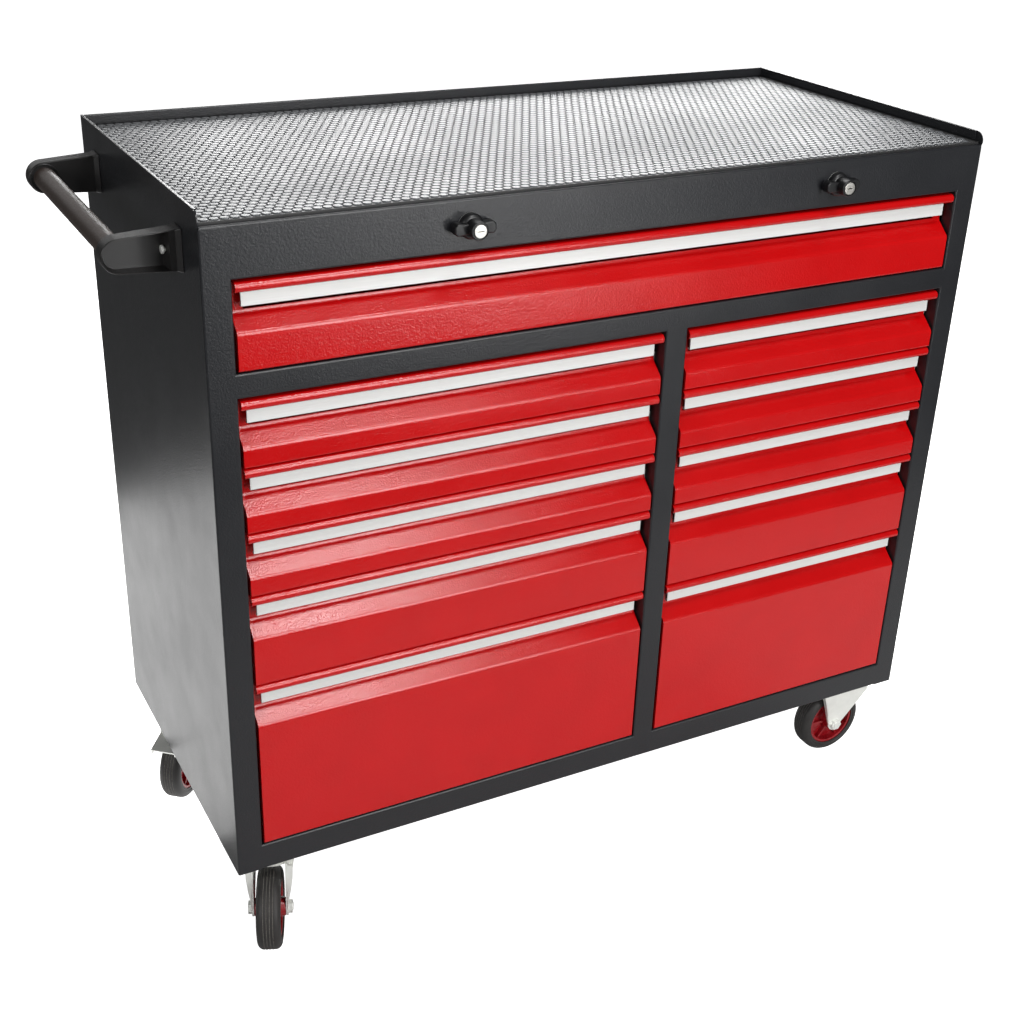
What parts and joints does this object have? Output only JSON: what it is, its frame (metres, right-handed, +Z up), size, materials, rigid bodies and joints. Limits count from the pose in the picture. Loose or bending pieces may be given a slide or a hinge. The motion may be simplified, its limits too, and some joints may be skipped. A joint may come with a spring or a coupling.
{
  "type": "drawer tool cabinet",
  "caption": "Wheeled tool cabinet: sheet-metal carcass with a studded rubber worktop, sliding drawers with aluminium pulls, lock knobs, a side push handle and casters.",
  "frame": {"origin": "on the floor, under the middle of the overall box", "axes": "+X to the right along the cabinet's width, +Y from the drawer fronts to the back, +Z up"},
  "size_m": [1.081, 0.4944, 0.9315],
  "materials": {
    "black_powder_coat": "fine-textured black powder coat",
    "red_powder_coat": "fine-textured glossy red powder coat",
    "pull_aluminium": "satin anodised",
    "zinc_slides": "zinc plated",
    "mat_rubber": "studded black rubber",
    "handle_moulding": "fine-grained black moulding",
    "handle_tube": "satin black",
    "fastener_steel": "zinc plated",
    "caster_zinc": "bright zinc plated",
    "tyre_rubber": "black tyre on a red moulded rim",
    "knob_plastic": "glossy black with a bright key cylinder"
  },
  "bodies": {
    "cabinet": {"left_side_panel": "black_powder_coat", "right_side_panel": "black_powder_coat", "back_panel": "black_powder_coat", "base_pan": "black_powder_coat", "worktop_deck": "black_powder_coat", "mid_rail": "black_powder_coat", "centre_divider": "black_powder_coat", "slide_posts": "zinc_slides", "slide_outer_rails": "zinc_slides", "worktop_mat": "mat_rubber", "handle_brackets": "handle_moulding", "handle_bar": "handle_tube", "handle_screws": "fastener_steel", "caster_top_plates": "caster_zinc", "fixed_caster_forks": "caster_zinc", "caster_bolts": "fastener_steel"},
    "drawer_top": {"drawer_top": "red_powder_coat", "pull_top": "pull_aluminium", "slides_top": "zinc_slides"},
    "drawer_left_1": {"drawer_left_1": "red_powder_coat", "pull_left_1": "pull_aluminium", "slides_left_1": "zinc_slides"},
    "drawer_left_2": {"drawer_left_2": "red_powder_coat", "pull_left_2": "pull_aluminium", "slides_left_2": "zinc_slides"},
    "drawer_left_3": {"drawer_left_3": "red_powder_coat", "pull_left_3": "pull_aluminium", "slides_left_3": "zinc_slides"},
    "drawer_left_4": {"drawer_left_4": "red_powder_coat", "pull_left_4": "pull_aluminium", "slides_left_4": "zinc_slides"},
    "drawer_left_5": {"drawer_left_5": "red_powder_coat", "pull_left_5": "pull_aluminium", "slides_left_5": "zinc_slides"},
    "drawer_right_1": {"drawer_right_1": "red_powder_coat", "pull_right_1": "pull_aluminium", "slides_right_1": "zinc_slides"},
    "drawer_right_2": {"drawer_right_2": "red_powder_coat", "pull_right_2": "pull_aluminium", "slides_right_2": "zinc_slides"},
    "drawer_right_3": {"drawer_right_3": "red_powder_coat", "pull_right_3": "pull_aluminium", "slides_right_3": "zinc_slides"},
    "drawer_right_4": {"drawer_right_4": "red_powder_coat", "pull_right_4": "pull_aluminium", "slides_right_4": "zinc_slides"},
    "drawer_right_5": {"drawer_right_5": "red_powder_coat", "pull_right_5": "pull_aluminium", "slides_right_5": "zinc_slides"},
    "lock_knob_left": {"lock_knob_left": "knob_plastic"},
    "lock_knob_right": {"lock_knob_right": "knob_plastic"},
    "lock_bar_left": {"lock_bar_left": "zinc_slides"},
    "lock_bar_right": {"lock_bar_right": "zinc_slides"},
    "swivel_fork_front_left": {"swivel_fork_front_left": "caster_zinc"},
    "swivel_fork_rear_left": {"swivel_fork_rear_left": "caster_zinc"},
    "brake_pedal": {"brake_pedal": "caster_zinc"},
    "wheel_front_left": {"wheel_front_left": "tyre_rubber"},
    "wheel_rear_left": {"wheel_rear_left": "tyre_rubber"},
    "wheel_front_right": {"wheel_front_right": "tyre_rubber"},
    "wheel_rear_right": {"wheel_rear_right": "tyre_rubber"}
  },
  "joints": [
    {"name": "drawer_top_slide", "type": "slide", "parent": "cabinet", "child": "drawer_top", "axis": [0, -1, 0], "range_m": [0, 0.3]},
    {"name": "drawer_left_1_slide", "type": "slide", "parent": "cabinet", "child": "drawer_left_1", "axis": [0, -1, 0], "range_m": [0, 0.3]},
    {"name": "drawer_left_2_slide", "type": "slide", "parent": "cabinet", "child": "drawer_left_2", "axis": [0, -1, 0], "range_m": [0, 0.3]},
    {"name": "drawer_left_3_slide", "type": "slide", "parent": "cabinet", "child": "drawer_left_3", "axis": [0, -1, 0], "range_m": [0, 0.3]},
    {"name": "drawer_left_4_slide", "type": "slide", "parent": "cabinet", "child": "drawer_left_4", "axis": [0, -1, 0], "range_m": [0, 0.3]},
    {"name": "drawer_left_5_slide", "type": "slide", "parent": "cabinet", "child": "drawer_left_5", "axis": [0, -1, 0], "range_m": [0, 0.3]},
    {"name": "drawer_right_1_slide", "type": "slide", "parent": "cabinet", "child": "drawer_right_1", "axis": [0, -1, 0], "range_m": [0, 0.3]},
    {"name": "drawer_right_2_slide", "type": "slide", "parent": "cabinet", "child": "drawer_right_2", "axis": [0, -1, 0], "range_m": [0, 0.3]},
    {"name": "drawer_right_3_slide", "type": "slide", "parent": "cabinet", "child": "drawer_right_3", "axis": [0, -1, 0], "range_m": [0, 0.3]},
    {"name": "drawer_right_4_slide", "type": "slide", "parent": "cabinet", "child": "drawer_right_4", "axis": [0, -1, 0], "range_m": [0, 0.3]},
    {"name": "drawer_right_5_slide", "type": "slide", "parent": "cabinet", "child": "drawer_right_5", "axis": [0, -1, 0], "range_m": [0, 0.3]},
    {"name": "lock_knob_left_turn", "type": "hinge", "parent": "cabinet", "child": "lock_knob_left", "pos_m": [-0.169, -0.21281, 0.8885], "axis": [0, -1, 0], "range_deg": [0, 90]},
    {"name": "lock_bar_left_lift", "type": "slide", "parent": "cabinet", "child": "lock_bar_left", "axis": [0, 0, 1], "range_m": [0, 0.01]},
    {"name": "lock_knob_right_turn", "type": "hinge", "parent": "cabinet", "child": "lock_knob_right", "pos_m": [0.315, -0.21281, 0.8885], "axis": [0, -1, 0], "range_deg": [0, 90]},
    {"name": "lock_bar_right_lift", "type": "slide", "parent": "cabinet", "child": "lock_bar_right", "axis": [0, 0, 1], "range_m": [0, 0.01]},
    {"name": "caster_front_left_swivel", "type": "hinge", "parent": "cabinet", "child": "swivel_fork_front_left", "pos_m": [-0.4025, -0.16081, 0.114], "axis": [0, 0, 1], "continuous": true},
    {"name": "wheel_front_left_spin", "type": "hinge", "parent": "swivel_fork_front_left", "child": "wheel_front_left", "pos_m": [-0.41735, -0.19579, 0.051], "axis": [0.9205, -0.3907, 0], "continuous": true},
    {"name": "caster_rear_left_swivel", "type": "hinge", "parent": "cabinet", "child": "swivel_fork_rear_left", "pos_m": [-0.4025, 0.17119, 0.114], "axis": [0, 0, 1], "continuous": true},
    {"name": "wheel_rear_left_spin", "type": "hinge", "parent": "swivel_fork_rear_left", "child": "wheel_rear_left", "pos_m": [-0.42693, 0.14208, 0.051], "axis": [0.766, -0.6428, 0], "continuous": true},
    {"name": "wheel_front_right_spin", "type": "hinge", "parent": "cabinet", "child": "wheel_front_right", "pos_m": [0.4735, -0.16081, 0.051], "axis": [0, 1, 0], "continuous": true},
    {"name": "wheel_rear_right_spin", "type": "hinge", "parent": "cabinet", "child": "wheel_rear_right", "pos_m": [0.4735, 0.17119, 0.051], "axis": [0, 1, 0], "continuous": true},
    {"name": "brake_pedal_tip", "type": "hinge", "parent": "swivel_fork_rear_left", "child": "brake_pedal", "pos_m": [-0.43335, 0.13442, 0.109], "axis": [0.766, -0.6428, 0], "range_deg": [0, 12]}
  ],
  "couplings": [
    {"joint": "lock_knob_left_turn", "follows": "lock_bar_left_lift", "rad_per_m": 157.08},
    {"joint": "lock_knob_right_turn", "follows": "lock_bar_right_lift", "rad_per_m": 157.08}
  ]
}
